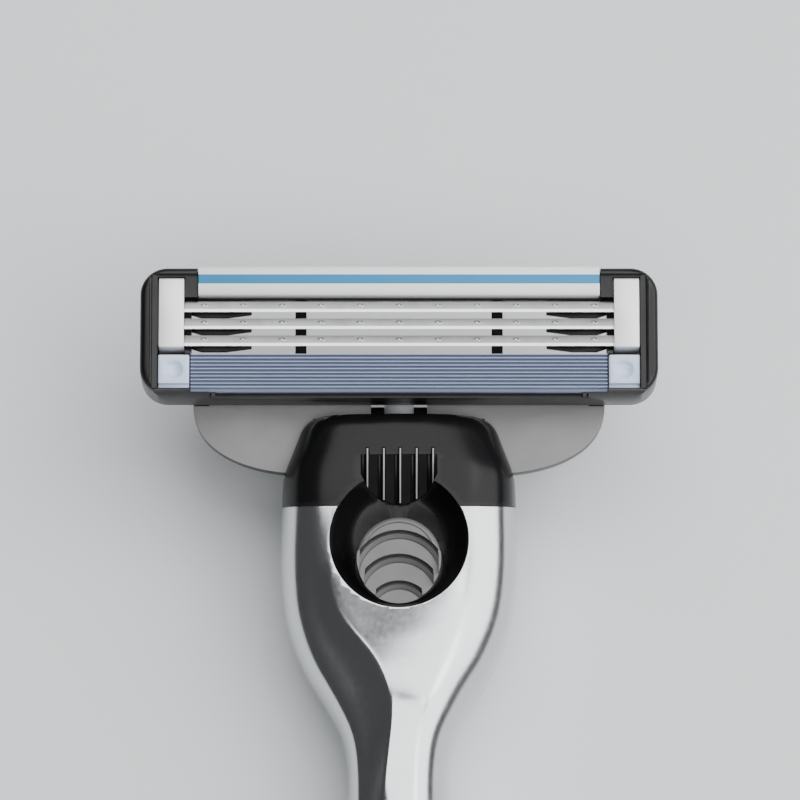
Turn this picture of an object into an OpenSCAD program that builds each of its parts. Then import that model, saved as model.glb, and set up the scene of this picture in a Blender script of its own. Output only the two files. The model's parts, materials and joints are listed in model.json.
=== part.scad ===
// Cartridge razor lying on its back: +Z up out of the blades, +Y towards the head.
// The head, neck and mechanism are drawn in a head frame that leans by neck_lean:
// v runs along the neck towards the head and w points out of the front of the neck.

/* [Overall] */
// Distance from the top of the head to the butt of the handle
razor_length = 143; // [140:1:146]
// Lean of the neck and head against the grip, in degrees
neck_lean = 8; // [7:0.5:9]

/* [Cartridge] */
// Width of the cartridge across its two ends
head_w = 42; // [42:0.5:44]
// Height of the cartridge from its guard edge to its cap edge
head_h = 10.5; // [10.4:0.1:10.8]
// Depth of the cartridge frame
head_d = 4.2; // [4.1:0.1:4.3]
// Distance from one blade edge to the next
blade_pitch = 1.41; // [1.38:0.01:1.42]
// Slope of each blade against the face, in degrees
blade_slope = 22; // [20:1:24]
// Number of fins on the guard
fin_count = 10; // [6:1:10]

/* [Neck] */
// Widest width of the neck
neck_w = 19.2; // [18.8:0.1:19.6]
// Diameter of the round pocket that holds the button
pocket_d = 11.3; // [11.1:0.1:11.5]
// Diameter of the release button
button_d = 6.8; // [6.4:0.1:6.8]
// Travel of the release button
button_travel = 3; // [2.5:0.1:3]

/* [Grip] */
// Widest width of the grip
grip_w = 12; // [11:0.5:12.5]
// Width of the rubber pad under the thumb
thumb_pad_w = 7; // [6:0.5:7.5]
// Width of the rubber pad under the finger
finger_pad_w = 6.4; // [5:0.5:7]

/* [Hidden] */
$fn = 48;

far = 100;             // long enough to cut right through any piece
slip = 0.1;            // working gap between sliding faces

// Head frame: the joint line of collar and handle crosses the plunger's axis here.
joint_z = 7.9;
head_top_v = 19.5;     // upper edge of the cartridge along the neck
head_back_w = 2.3;     // back face of the cartridge above the plunger's axis
joint_y = razor_length / 2 - head_top_v * cos(neck_lean) + head_back_w * sin(neck_lean);

// Cartridge face: y runs from the guard edge to the cap edge and z is 0 at the skin.
guard_v = head_top_v - head_h;
skin_w = head_back_w + head_d;
end_x = 16.9;          // inner face of each end block
clip_x = 17.44;        // inner edge of each clip
clip_w = 2.03;
clip_y = [3.86, 9.64];
clip_foot = -4.5;      // underside of a clip's turned-in legs
clip_t = 0.16;
corner_r = 2.2;
first_edge = 4.07;     // edge of the blade nearest the guard
blade_len = 36.4;
blade_reach = 1.0;     // width of a blade from its edge to its back
blade_t = 0.1;
support_t = 0.25;
support_foot = -2.55;  // lowest point of a blade support
guard_floor = -1.05;   // seat of the rubber guard
rim_x = 19.6;          // inner face of the raised rim at each end
rim_rise = 0.4;
guard_top = 3.5;
cap_start = 8.1;
strip_half = 16.28;
rib_x = 8;
fin_pitch = 0.3;
// Side view of the strip, from the edge that faces the blades round to its underside.
strip_profile = [
    [8.25, -1.15], [8.25, 0.02], [8.45, 0.17], [8.75, 0.26], [9.17, 0.34], [9.91, 0.33],
    [10.45, 0.2], [10.68, -0.1], [10.68, -0.9], [10.4, -1.15]
];

// Pivot of the cartridge on the yoke, in the head frame.
pivot_v = 11.4;
pivot_w = 2.6;
pivot_r = 0.8;
pivot_gap = 0.05;
pivot_turn = 41;       // degrees from rest to the back stop
cam_start = 0.2;       // distance of the plunger's rest point past the involute's root

// Docking nose and mechanism, in the head frame.
joint_front = 5.65;    // height at which the joint crosses the neck's front
joint_lean = 9.4;
nose_tip = 8;
groove_x = 6.8;        // bottom of the grooves that hold the yoke
plate_lo = 0.1;        // back and front faces of the yoke's wing plate
plate_hi = 1.3;
wing_centre = [7, 9.3];    // a wing is a quarter of a rounded square about this point
wing_size = [9.8, 5.8];
wing_squareness = 2.25;
pocket_v = -2.65;
pocket_floor = 2.9;
ramp = [[0.5, 3.2], [5.2, 5.5]];   // ribbed ramp that runs down into the pocket: ends of its floor
ramp_round = [3.9, 3.3];           // centre and radius of the ramp's lower end
ramp_slope = (ramp[1][1] - ramp[0][1]) / (ramp[1][0] - ramp[0][0]);
ramp_half = 3.1;
rib_step = 1.32;
rib_height = 0.3;
button_v = -4.37;
button_levels = [6.1, 5.55, 5.0, 4.45];
button_lip = [-2.6, 4.5];  // ahead of this the button overhangs the ramp, above this height
riser_apex = [-2.68, -4.53, -6.62];
riser_r = [3.3, 3, 2.2];
riser_half = [3.2, 2.8, 1.9];
riser_lean = 0.9;      // how far each riser leans back over its height
finger_x = 2.2;        // inner face of each ejector finger
finger_t = 1.2;
slider_back = -10.8;
spring_seat = [-5.4, -4.7];  // rib that both springs push against
plunger_r = 1.2;
plunger_tip = pivot_v - cam_start - 0.1;
spring_r = 1.15;       // mean radius of both coils
wire_r = 0.17;
plug_half = 6.8;
plug_back = -12.3;
plug_shape = [[plug_half, 3], [plug_half, -7.5], [4.8, plug_back], [-4.8, plug_back],
    [-plug_half, -7.5], [-plug_half, 3]];

// Body of the handle: v, half width, lowest and highest height above the table, squareness.
butt_z = 4.75;
butt_v = (-razor_length / 2 - joint_y + (butt_z - joint_z) * tan(neck_lean)) * cos(neck_lean);
function lift(v, w) = joint_z + v * sin(neck_lean) + w * cos(neck_lean);
half_neck = neck_w / 2;
half_grip = grip_w / 2;
thumb_pad = [-46, 18];     // ends of the rubber pads along the table
finger_pad = [-40, 8];
thumb_seat = 10.3;         // heights of the pads' flat seats
finger_seat = 2.2;
stations = [
    [butt_v, 0.6, butt_z - 0.45, butt_z + 0.45, 2.2],
    [butt_v + 0.5, 2.6, 2.1, 7.2, 2.2],
    [butt_v + 2, 3.9, 0.7, 8.6, 2.3],
    [butt_v + 5.2, 4.7, -0.1, 9.5, 2.4],
    [-110, 5.1, -0.12, 10.2, 2.5],
    [-98, half_grip - 0.5, 0.35, 11, 2.6],
    [-82, half_grip - 0.1, 0.9, 11.8, 2.6],
    [-66, half_grip, 1.2, 12.2, 2.6],
    [-50, half_grip - 0.4, 1.15, 12, 2.6],
    [-38, half_grip - 1.1, 0.9, 11.4, 2.5],
    [-30, 4.35, 0.55, 10.8, 2.4],
    [-24, 4.05, 0.2, 10.4, 2.4],
    [-19.8, 4.2, -0.05, 10.3, 2.5],
    [-17.9, 4.75, -0.1, 10.35, 2.5],
    [-15.7, 5.8, -0.08, lift(-15.7, 4.7), 2.6],
    [-13.2, 7.3, 0.1, lift(-13.2, 5.05), 2.8],
    [-10.3, 8.5, lift(-10.3, -5.95), lift(-10.3, 5.35), 3],
    [-7.4, half_neck - 0.35, lift(-7.4, -5.95), lift(-7.4, 5.55), 3.2],
    [-4.2, half_neck, lift(-4.2, -5.85), lift(-4.2, 5.7), 3.3],
    [0, half_neck - 0.12, lift(0, -5.6), lift(0, 5.65), 3.3],
    [1.7, half_neck - 0.16, lift(1.7, -5.3), lift(1.7, 5.5), 3.3],
    [3.25, half_neck - 0.2, lift(3.25, -5), lift(3.25, 5.3), 3.2],
    [4.6, half_neck - 0.65, lift(4.6, -4.75), lift(4.6, 5.05), 3.1],
    [7.05, 8, lift(7.05, -4.2), lift(7.05, 4.5), 3],
    [nose_tip, 7.75, lift(nose_tip, -4), lift(nose_tip, 4.2), 3]
];

// ---- placing ----

module in_head() translate([0, joint_y, joint_z]) rotate([neck_lean, 0, 0]) children();
module in_face() in_head() translate([0, guard_v, skin_w]) children();
module both_sides() { children(); mirror([1, 0, 0]) children(); }

// Box between two corners.
module block(lo, hi) translate(lo) cube(hi - lo);
// Box that is the same on both sides of the middle.
module wide_block(half, y0, y1, z0, z1) block([-half, y0, z0], [half, y1, z1]);
// Outline in the side view (y, z), drawn out along x from x0 to x1.
module side_extrude(x0, x1) translate([x0, 0, 0]) rotate([90, 0, 90]) linear_extrude(x1 - x0) children();
// Round bar along x.
module x_bar(x0, x1, r, y, z) translate([x0, y, z]) rotate([0, 90, 0]) cylinder(h = x1 - x0, r = r);
// Round bar along y.
module y_bar(y0, y1, r, z = 0) translate([0, y0, z]) rotate([-90, 0, 0]) cylinder(h = y1 - y0, r = r);
// Outline with round ends that runs along y.
module stadium(y0, y1, width) {
    translate([-width / 2, y0 + width / 2]) square([width, y1 - y0 - width]);
    translate([0, y0 + width / 2]) circle(width / 2);
    translate([0, y1 - width / 2]) circle(width / 2);
}
module rounded_rect(width, height, r) {
    translate([-width / 2 + r, 0]) square([width - 2 * r, height]);
    translate([-width / 2, r]) square([width, height - 2 * r]);
    for (x = [-1, 1], y = [r, height - r]) translate([x * (width / 2 - r), y]) circle(r);
}

// ---- the lofted body of handle and collar ----

// Catmull-Rom blend of four values.
function blend4(a, b, c, d, t) =
    0.5 * (2 * b + (c - a) * t + (2 * a - 5 * b + 4 * c - d) * t * t + (3 * b - a - 3 * c + d) * t * t * t);
function clamp_at(i) = max(0, min(len(stations) - 1, i));
function station(i, t) =
    blend4(stations[clamp_at(i - 1)], stations[i], stations[clamp_at(i + 1)], stations[clamp_at(i + 2)], t);
// Point of a rounded-square section, with grow added all round.
function section_point(s, angle, grow) =
    let (
        low = (s[2] - joint_z - s[0] * sin(neck_lean)) / cos(neck_lean),
        high = (s[3] - joint_z - s[0] * sin(neck_lean)) / cos(neck_lean),
        c = cos(angle),
        z = sin(angle),
        px = sign(c) * pow(abs(c), 2 / s[4]) * (s[1] + grow),
        pz = sign(z) * pow(abs(z), 2 / s[4]) * ((high - low) / 2 + grow)
    )
    [px, s[0], (low + high) / 2 + pz];

// Closed body through the stations first to last, in the head frame.
module loft(first, last, steps, sides, grow = 0) {
    rings = (last - first) * steps;
    rows = [for (i = [0:rings]) let (k = min(last - 1, first + floor(i / steps)))
        station(k, i / steps - (k - first))];
    points = [for (row = rows, a = [0:sides - 1]) section_point(row, 360 * (a + 0.5) / sides, grow)];
    walls = [for (i = [0:rings - 1], a = [0:sides - 1]) let (b = (a + 1) % sides)
        each [
            [i * sides + a, (i + 1) * sides + b, (i + 1) * sides + a],
            [i * sides + a, i * sides + b, (i + 1) * sides + b]
        ]];
    low_cap = [[for (a = [sides - 1:-1:0]) a]];
    high_cap = [[for (a = [0:sides - 1]) rings * sides + a]];
    polyhedron(points, concat(walls, low_cap, high_cap), convexity = 4);
}

// Everything on the collar's side of the joint, which leans forwards towards the back.
module ahead_of_joint() translate([0, 0, joint_front]) rotate([joint_lean, 0, 0])
    wide_block(far, 0, far, -far, far);

module above_table() translate([-far / 2, -far, 0]) cube([far, 2 * far, far]);

// ---- handle ----

module plug(grow) translate([0, 0, -3.5 - grow]) linear_extrude(7 + 2 * grow) offset(delta = grow)
    polygon(plug_shape);

module handle_shell() color("silver") difference() {
    intersection() {
        in_head() difference() {
            loft(0, 21, 2, 32);
            ahead_of_joint();
        }
        above_table();
    }
    in_head() plug(0.05);
    in_head() translate([0, pocket_v, 3]) cylinder(h = 8, r = pocket_d / 2);
    translate([0, 0, thumb_seat]) linear_extrude(10) stadium(thumb_pad[0], thumb_pad[1], thumb_pad_w);
    translate([0, 0, finger_seat - 10]) linear_extrude(10)
        stadium(finger_pad[0], finger_pad[1], finger_pad_w);
}

module thumb_grip() color("dimgray") intersection() {
    in_head() loft(4, 12, 2, 24, 0.3);
    translate([0, 0, thumb_seat]) linear_extrude(10)
        stadium(thumb_pad[0] + 0.05, thumb_pad[1] - 0.05, thumb_pad_w - 0.1);
}

module finger_grip() color("dimgray") intersection() {
    in_head() loft(4, 12, 2, 24, 0.3);
    translate([0, 0, finger_seat - 10]) linear_extrude(10)
        stadium(finger_pad[0] + 0.05, finger_pad[1] - 0.05, finger_pad_w - 0.1);
}

// ---- docking body: black collar, plug, button pocket and nose ----

// Space above a line that slopes with the ramp, raised by rise.
module above_ramp(half, rise) side_extrude(-half, half) polygon([
    [ramp[0][0] - 1, ramp[0][1] - ramp_slope + rise], [ramp[1][0], ramp[1][1] + rise],
    [ramp[1][0], far], [ramp[0][0] - 1, far]
]);

module ramp_tongue() difference() {
    intersection() {
        translate([0, ramp_round[0], 2]) cylinder(h = 4, r = ramp_round[1]);
        wide_block(ramp_half, -5, ramp_round[0] + 0.5, 2, 6);
    }
    above_ramp(far, rib_height);
    for (x = [-1.5:1.5]) translate([x * rib_step, 0, 0]) above_ramp(0.28, 0);
}

module bowl() translate([0, pocket_v, 0]) rotate_extrude()
    polygon([[0, pocket_floor], [4, pocket_floor], [4.7, 3.5], [5.1, 4.4], [5.3, 5.4], [5.3, 8], [0, 8]]);

module docking_body() color("#2b2b2d") in_head() difference() {
    union() {
        intersection() {
            loft(15, len(stations) - 1, 2, 32);
            union() {
                ahead_of_joint();
                translate([0, pocket_v, 2]) cylinder(h = 6, r = pocket_d / 2 - 0.05);
            }
        }
        plug(0);
    }
    difference() {
        bowl();
        ramp_tongue();
    }
    difference() {
        above_ramp(ramp_half, rib_height);
        ramp_tongue();
    }
    translate([0, button_v, pocket_floor]) cylinder(h = 5, r = button_d / 2 + 0.15);
    // slot in the floor for the button's stem
    wide_block(1.7, button_v - 2.9, button_v + button_travel - 0.7, 1, 3);
    // chamber for slider, spring and flange, open to the cover
    wide_block(3.5, plug_back + 0.8, 1.5, -1.9, 2.3);
    wide_block(3.5, plug_back + 0.8, -0.3, -4, -1.5);
    // bore for the plunger and ways for the two ejector fingers
    y_bar(1, far, plunger_r + 0.08);
    both_sides() block([finger_x - slip, 1, -0.6], [finger_x + finger_t + slip, far, 2.25]);
    // grooves that hold the yoke's wing plate, and the flat that its back plate slides on
    both_sides() block([groove_x, 3.2, plate_lo - slip], [far, far, plate_hi + slip]);
    wide_block(far, 4.5, far, -far, -2.9);
}

module mechanism_cover() color("#3a3a3c") in_head() {
    wide_block(3.4, plug_back + 0.9, -0.4, -3.5, -2);
    wide_block(2, spring_seat[0], spring_seat[1], -2.5, 1.6);
}

// ---- mechanism ----

module release_button() color("gray") in_head() difference() {
    union() {
        translate([0, button_v, pocket_floor + 0.05])
            cylinder(h = button_levels[0] - pocket_floor - 0.05, r = button_d / 2);
        wide_block(1.6, button_v - 2.8, button_v - 0.8, 2.2, 3.5);
    }
    for (k = [0:2]) intersection() {
        translate([0, riser_apex[k] - riser_r[k], button_levels[k + 1]])
            cylinder(h = 4, r1 = riser_r[k], r2 = riser_r[k] + 4 * riser_lean);
        wide_block(riser_half[k], -far, far, 0, far);
    }
    wide_block(far, button_lip[0], far, pocket_floor, button_lip[1]);
}

module ejector_slider() color("#55565a") in_head() {
    difference() {
        wide_block(finger_x + finger_t, slider_back, -1.8, 1.75, 2.2);
        wide_block(0.4, slider_back - 1, slider_back + 1.5, 1, 3);
    }
    both_sides() block([finger_x, slider_back, -0.5], [finger_x + finger_t, 4.9, 2.15]);
    wide_block(finger_x, slider_back, slider_back + 0.8, -1.5, 1.8);
}

module plunger() color("gainsboro") in_head() {
    difference() {
        y_bar(-0.2, plunger_tip, plunger_r);
        // rounded nose, left by a ring that is cut away
        translate([0, plunger_tip, 0]) rotate([90, 0, 0]) rotate_extrude() difference() {
            translate([plunger_r - 0.5, -1]) square([1, 1.5]);
            translate([plunger_r - 0.5, 0.5]) circle(0.5);
        }
    }
    y_bar(-0.2, 0.9, 1.7);
    y_bar(-2.4, 0, 0.7);
}

// Coil spring along the neck: rings of six points along a helix.
module coil(start, end, turns) {
    rings = round(turns * 14);
    sides = 6;
    points = [for (i = [0:rings], s = [0:sides - 1])
        let (turn = 360 * turns * i / rings, a = 360 * s / sides, r = spring_r + wire_r * cos(a))
        [r * cos(turn), start + (end - start) * i / rings + wire_r * sin(a), r * sin(turn)]];
    walls = [for (i = [0:rings - 1], s = [0:sides - 1]) let (t = (s + 1) % sides)
        each [
            [i * sides + s, (i + 1) * sides + t, i * sides + t],
            [i * sides + s, (i + 1) * sides + s, (i + 1) * sides + t]
        ]];
    first_cap = [[for (s = [0:sides - 1]) s]];
    last_cap = [[for (s = [sides - 1:-1:0]) rings * sides + s]];
    polyhedron(points, concat(walls, first_cap, last_cap), convexity = 10);
}

module button_spring() color("silver") in_head()
    coil(slider_back + 0.85 + wire_r, spring_seat[0] - 0.05 - wire_r, 4);

module plunger_spring() color("silver") in_head()
    coil(spring_seat[1] + 0.05 + wire_r, -0.25 - wire_r, 4);

// ---- connector yoke ----

module wing() {
    polygon(concat(
        [for (a = [0:6:90]) [
            wing_centre[0] + wing_size[0] * pow(cos(a), 2 / wing_squareness),
            wing_centre[1] - wing_size[1] * pow(sin(a), 2 / wing_squareness)
        ]],
        [[7, wing_centre[1]]]
    ));
}

module connector_yoke() color("#939393") in_head() {
    both_sides() translate([0, 0, plate_lo]) linear_extrude(plate_hi - plate_lo) wing();
    // crossbar with a way through for plunger and cam, and the back plate behind the nose
    both_sides() block([2.3, nose_tip + slip, -3], [wing_centre[0] + 2, 9.7, plate_hi]);
    wide_block(wing_centre[0] + 2, nose_tip + slip, 9.7, -3, -1.75);
    wide_block(6.6, 4.7, 9.7, -4, -2.95);
    // arms that rise to the pivot, with their pins
    both_sides() {
        side_extrude(15.5, 16.7) polygon([
            [8.4, plate_lo], [11.3, 0.9], [12.4, 1.8], [12.6, pivot_w], [10.2, pivot_w],
            [10.3, 2.05], [8.4, plate_hi]
        ]);
        x_bar(15.5, 16.7, 1.3, pivot_v, pivot_w);
        x_bar(16.6, 18.4, pivot_r, pivot_v, pivot_w);
    }
}

// ---- cartridge ----

face_pivot = [pivot_v - guard_v, pivot_w - skin_w];
function edge_at(k) = first_edge + blade_pitch * k;

// Cam on the back of the cartridge: an involute, so the plunger moves in step with the turn.
function turn_back(p, a) = [p[0] * cos(a) - p[1] * sin(a), p[0] * sin(a) + p[1] * cos(a)];
cam_face = [for (i = [0:6]) let (turn = pivot_turn * i / 6)
    face_pivot + turn_back([-(cam_start + pivot_w * turn * PI / 180), -pivot_w], turn)];

module cam() side_extrude(-1.5, 1.5) polygon(concat(
    [[cam_face[0][0], -2]], cam_face, [[face_pivot[0] + 1.2, -skin_w - 0.9], [face_pivot[0] + 1.2, -2]]
));

module blade_housing() color("#302f30") in_face() difference() {
    union() {
        difference() {
            translate([0, 0, -head_d]) linear_extrude(head_d) rounded_rect(head_w, head_h, corner_r);
            // window behind the blades, and the hollow behind the guard
            wide_block(end_x, guard_top, cap_start, -far, far);
            wide_block(end_x, 0.9, guard_top + 1, -far, -2.2);
            wide_block(end_x, cap_start - 1, head_h - 0.8, -far, -3.4);
        }
        // raised rim round both ends
        difference() {
            linear_extrude(rim_rise) rounded_rect(head_w, head_h, corner_r);
            wide_block(end_x - 1.2, -1, far, -1, far);
            wide_block(rim_x, 0.5, 9.95, -1, far);
        }
        both_sides() block([rib_x - 0.45, guard_top - 1, -head_d], [rib_x + 0.45, cap_start + 1, -3]);
        both_sides() x_bar(end_x, 18.9, 1.7, face_pivot[0], face_pivot[1]);
        cam();
    }
    // seats of guard, end pads and strip
    wide_block(end_x + 0.05, 0.3, guard_top + 1, guard_floor, far);
    both_sides() block([end_x, 0.5, guard_floor], [19.6, 3.42, far]);
    wide_block(strip_half + 0.07, 7, far, -1.2, far);
    wide_block(end_x, 8.2, 9.9, -0.7, far);
    // pockets and slots for the ends of blades and supports
    both_sides() block([end_x - 1, first_edge - 0.4, -1.3], [18.6, cap_start, far]);
    for (k = [0:2]) wide_block(18.6, edge_at(k) + 0.55, edge_at(k) + 1.05, -2.95, far);
    // holes for the legs of the clips
    both_sides() for (y = [clip_y[0], clip_y[1] - clip_t])
        block([clip_x - slip, y - slip, -far], [clip_x + clip_w + slip, y + clip_t + slip, far]);
    both_sides() block([clip_x - slip, clip_y[0] - slip, -far], [clip_x + clip_w + slip, 4.9, -head_d]);
    // bores for the yoke's pins
    both_sides() x_bar(end_x - 1, 18.6, pivot_r + pivot_gap, face_pivot[0], face_pivot[1]);
}

module guard_fins() color("#8b98bd") in_face() {
    first = guard_top - 0.12;
    side_extrude(-end_x, end_x) polygon(concat(
        [[0.35, guard_floor], [guard_top, guard_floor]],
        [for (k = [0:fin_count - 1]) let (y = first - fin_pitch * k) each [
            [y + 0.1, -0.5], [y + 0.04, -0.1], [y - 0.04, -0.1], [y - 0.1, -0.5]
        ]],
        [[0.35, -0.45]]
    ));
}

module guard_pad() color("#d2e0fb") in_face() difference() {
    block([end_x + 0.1, 0.55, guard_floor], [19.52, 3.36, -0.15]);
    translate([18.25, 2.1, 0.55]) sphere(1);
}

module lubricating_strip() color("white") in_face() difference() {
    side_extrude(-strip_half, strip_half) polygon(strip_profile);
    wide_block(far, 9.17, 9.91, -0.3, far);
}

module indicator_stripe() color("#4f9bc4") in_face()
    side_extrude(-strip_half, strip_half) polygon([[9.17, -0.3], [9.17, 0.34], [9.91, 0.33], [9.91, -0.3]]);

module clip() color("#f4f4f5") in_face() side_extrude(clip_x, clip_x + clip_w) difference() {
    polygon([
        [clip_y[0], 0.12], [clip_y[0] + 0.15, 0.27], [clip_y[1] - 0.15, 0.27], [clip_y[1], 0.12],
        [clip_y[1], clip_foot], [clip_y[0], clip_foot]
    ]);
    translate([clip_y[0] + clip_t, clip_foot + clip_t])
        square([clip_y[1] - clip_y[0] - 2 * clip_t, 0.27 - clip_foot - 2 * clip_t]);
    translate([clip_y[0] + 0.9, clip_foot - 1]) square([clip_y[1] - clip_y[0] - 1.8, 2]);
}

// Point on a blade: s back from the edge along its top face, and below it by depth.
function on_blade(s, depth) = [
    s * cos(blade_slope) - depth * sin(blade_slope), -s * sin(blade_slope) - depth * cos(blade_slope)
];

module blade(k) color("gainsboro") in_face() translate([0, edge_at(k), -0.04])
    side_extrude(-blade_len / 2, blade_len / 2)
    polygon([[0, 0], on_blade(blade_reach, 0), on_blade(blade_reach, blade_t), on_blade(0.3, blade_t)]);

module blade_support(k) color("#8f9092") in_face() translate([0, edge_at(k), -0.04]) {
    heel = on_blade(blade_reach, blade_t);
    side_extrude(-blade_len / 2 + 0.2, blade_len / 2 - 0.2) polygon([
        on_blade(0.4, blade_t), heel, [heel[0], support_foot], [heel[0] - support_t, support_foot],
        [heel[0] - support_t, heel[1] - support_t], on_blade(0.4, blade_t + support_t)
    ]);
}

module spring_fingers(k) color("#1c1c1e") in_face() both_sides()
    translate([0, edge_at(k), support_foot - 0.55]) linear_extrude(0.45)
    polygon([
        [end_x, 0.35], [end_x, 1.15], [15, 1.05], [12, 0.95], [12, 0.36], [14.1, 0.08], [16.1, 0.08]
    ]);

// ---- nodes ----

handle_shell();
docking_body();
mechanism_cover();
thumb_grip();
finger_grip();
release_button();
ejector_slider();
button_spring();
plunger();
plunger_spring();
connector_yoke();
blade_housing();
guard_fins();
mirror([1, 0, 0]) guard_pad();  // guard_pad_left
guard_pad();  // guard_pad_right
lubricating_strip();
indicator_stripe();
mirror([1, 0, 0]) clip();  // clip_left
clip();  // clip_right
spring_fingers(0);  // spring_fingers_1
spring_fingers(1);  // spring_fingers_2
spring_fingers(2);  // spring_fingers_3
blade(0);  // blade_1
blade(1);  // blade_2
blade(2);  // blade_3
blade_support(0);  // blade_support_1
blade_support(1);  // blade_support_2
blade_support(2);  // blade_support_3
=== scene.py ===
"""A cartridge razor lying on its back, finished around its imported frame.

Head, neck and mechanism are modelled in the head frame, in millimetres: x to the right, v along
the neck towards the head and w out of its front. Each finished piece is then set in its place.
"""

import json
import math
from contextlib import contextmanager

import bmesh
import bpy
from mathutils import Matrix, Vector


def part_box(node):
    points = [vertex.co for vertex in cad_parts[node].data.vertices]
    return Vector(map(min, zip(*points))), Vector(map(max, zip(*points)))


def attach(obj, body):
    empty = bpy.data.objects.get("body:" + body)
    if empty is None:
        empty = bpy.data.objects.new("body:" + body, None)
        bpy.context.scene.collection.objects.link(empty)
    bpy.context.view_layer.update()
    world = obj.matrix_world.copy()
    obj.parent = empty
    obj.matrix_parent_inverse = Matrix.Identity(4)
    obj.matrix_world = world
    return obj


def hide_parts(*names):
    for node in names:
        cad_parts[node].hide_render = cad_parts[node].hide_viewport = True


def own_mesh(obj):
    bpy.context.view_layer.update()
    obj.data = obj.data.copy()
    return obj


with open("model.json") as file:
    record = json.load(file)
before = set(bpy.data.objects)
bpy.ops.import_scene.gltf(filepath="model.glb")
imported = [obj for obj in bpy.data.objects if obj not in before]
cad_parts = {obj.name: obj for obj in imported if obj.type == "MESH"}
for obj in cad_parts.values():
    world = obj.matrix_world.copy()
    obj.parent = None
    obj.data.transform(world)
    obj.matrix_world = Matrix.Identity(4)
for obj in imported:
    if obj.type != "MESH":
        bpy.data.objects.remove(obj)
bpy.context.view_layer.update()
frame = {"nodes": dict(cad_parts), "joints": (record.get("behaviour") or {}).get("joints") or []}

MM = 0.001

# ---------------------------------------------------------------- the head frame

joints = {joint["name"]: joint for joint in frame["joints"]}
PIVOT_V, PIVOT_W = 11.4, 2.6                 # where the cartridge turns, in the head frame
V_AXIS = Vector(joints["cartridge_eject"]["axis"]).normalized()
W_AXIS = Vector((1, 0, 0)).cross(V_AXIS)
PIVOT = Vector(joints["head_pivot"]["pos_m"])
HEAD_ORIGIN = PIVOT - (PIVOT_V * V_AXIS + PIVOT_W * W_AXIS) * MM
HEAD = Matrix.Translation(HEAD_ORIGIN) @ Matrix((
    (1, V_AXIS.x, W_AXIS.x), (0, V_AXIS.y, W_AXIS.y), (0, V_AXIS.z, W_AXIS.z))).to_4x4() \
    @ Matrix.Scale(MM, 4)
LEAN = math.asin(V_AXIS.z)

# The cartridge's face: its guard edge and skin, in the head frame.
GUARD_V, SKIN_W = 9.0, 6.5
FACE = HEAD @ Matrix.Translation((0, GUARD_V, SKIN_W))
HEAD_W, HEAD_H, HEAD_D, CORNER = 42.0, 10.5, 4.2, 2.2
END_X, CLIP_X, CLIP_W, RIM_X, RIM_RISE = 16.9, 17.44, 2.03, 19.6, 0.4
FIRST_EDGE, PITCH, SLOPE = 4.07, 1.41, math.radians(22)
BLADE_HALF, BLADE_REACH, BLADE_T = 18.2, 1.0, 0.1
STRIP_HALF = 16.28

# ---------------------------------------------------------------- modelling tools


def deselect():
    bpy.ops.object.select_all(action="DESELECT")


def take(obj):
    deselect()
    obj.select_set(True)
    bpy.context.view_layer.objects.active = obj
    return obj


@contextmanager
def editing(obj):
    take(obj)
    bpy.ops.object.mode_set(mode="EDIT")
    yield
    bpy.ops.object.mode_set(mode="OBJECT")


def select(obj, kind, test):
    """In edit mode, selects the faces, edges or vertices whose middle passes the test."""
    mesh = bmesh.from_edit_mesh(obj.data)
    bpy.ops.mesh.select_mode(type=kind)
    bpy.ops.mesh.select_all(action="DESELECT")
    for item in {"VERT": mesh.verts, "EDGE": mesh.edges, "FACE": mesh.faces}[kind]:
        corners = [item] if kind == "VERT" else item.verts
        middle = sum((v.co for v in corners), Vector()) / len(corners)
        item.select_set(bool(test(middle, item)))
    mesh.select_flush_mode()
    bmesh.update_edit_mesh(obj.data)


def apply(obj, kind, **settings):
    take(obj)
    modifier = obj.modifiers.new(kind.lower(), kind)
    for key, value in settings.items():
        setattr(modifier, key, value)
    bpy.ops.object.modifier_apply(modifier=modifier.name)
    return obj


def boolean(obj, operation, others):
    for other in others:
        apply(obj, "BOOLEAN", operation=operation, object=other, solver="EXACT")
        bpy.data.objects.remove(other)
    return obj


def cut(obj, *others):
    return boolean(obj, "DIFFERENCE", others)


def fuse(obj, *others):
    return boolean(obj, "UNION", others)


def keep_inside(obj, *others):
    return boolean(obj, "INTERSECT", others)


def soften(obj, width, segments=2, angle=35):
    return apply(obj, "BEVEL", width=width, segments=segments, limit_method="ANGLE",
                 angle_limit=math.radians(angle), use_clamp_overlap=True)


def weld(obj, reach=0.02):
    """Merges the slivers that a cut leaves, before its edges are rounded."""
    with editing(obj):
        bpy.ops.mesh.select_all(action="SELECT")
        bpy.ops.mesh.remove_doubles(threshold=reach)
    return obj


def settle():
    bpy.ops.object.transform_apply(location=True, rotation=True, scale=True)
    return bpy.context.object


def box(name, lo, hi):
    deselect()
    lo, hi = Vector(lo), Vector(hi)
    bpy.ops.mesh.primitive_cube_add(size=1, location=(lo + hi) / 2)
    obj = bpy.context.object
    obj.name = name
    obj.scale = hi - lo
    return settle()


def rod(name, start, end, radius, sides=48):
    deselect()
    start, end = Vector(start), Vector(end)
    bpy.ops.mesh.primitive_cylinder_add(
        vertices=sides, radius=radius, depth=(end - start).length, location=(start + end) / 2,
        rotation=(end - start).to_track_quat("Z", "Y").to_euler())
    bpy.context.object.name = name
    return settle()


def ball(name, centre, radii, segments=24):
    deselect()
    bpy.ops.mesh.primitive_uv_sphere_add(segments=segments, ring_count=segments // 2, radius=1,
                                         location=centre)
    bpy.context.object.name = name
    bpy.context.object.scale = radii
    return settle()


def outline(name, points, fill_type):
    """A circle with as many corners as the outline has, moved to the outline's points."""
    deselect()
    bpy.ops.mesh.primitive_circle_add(vertices=len(points), radius=1, fill_type=fill_type)
    obj = bpy.context.object
    obj.name = name
    for vertex, point in zip(obj.data.vertices, points):
        vertex.co = point
    return obj


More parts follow.
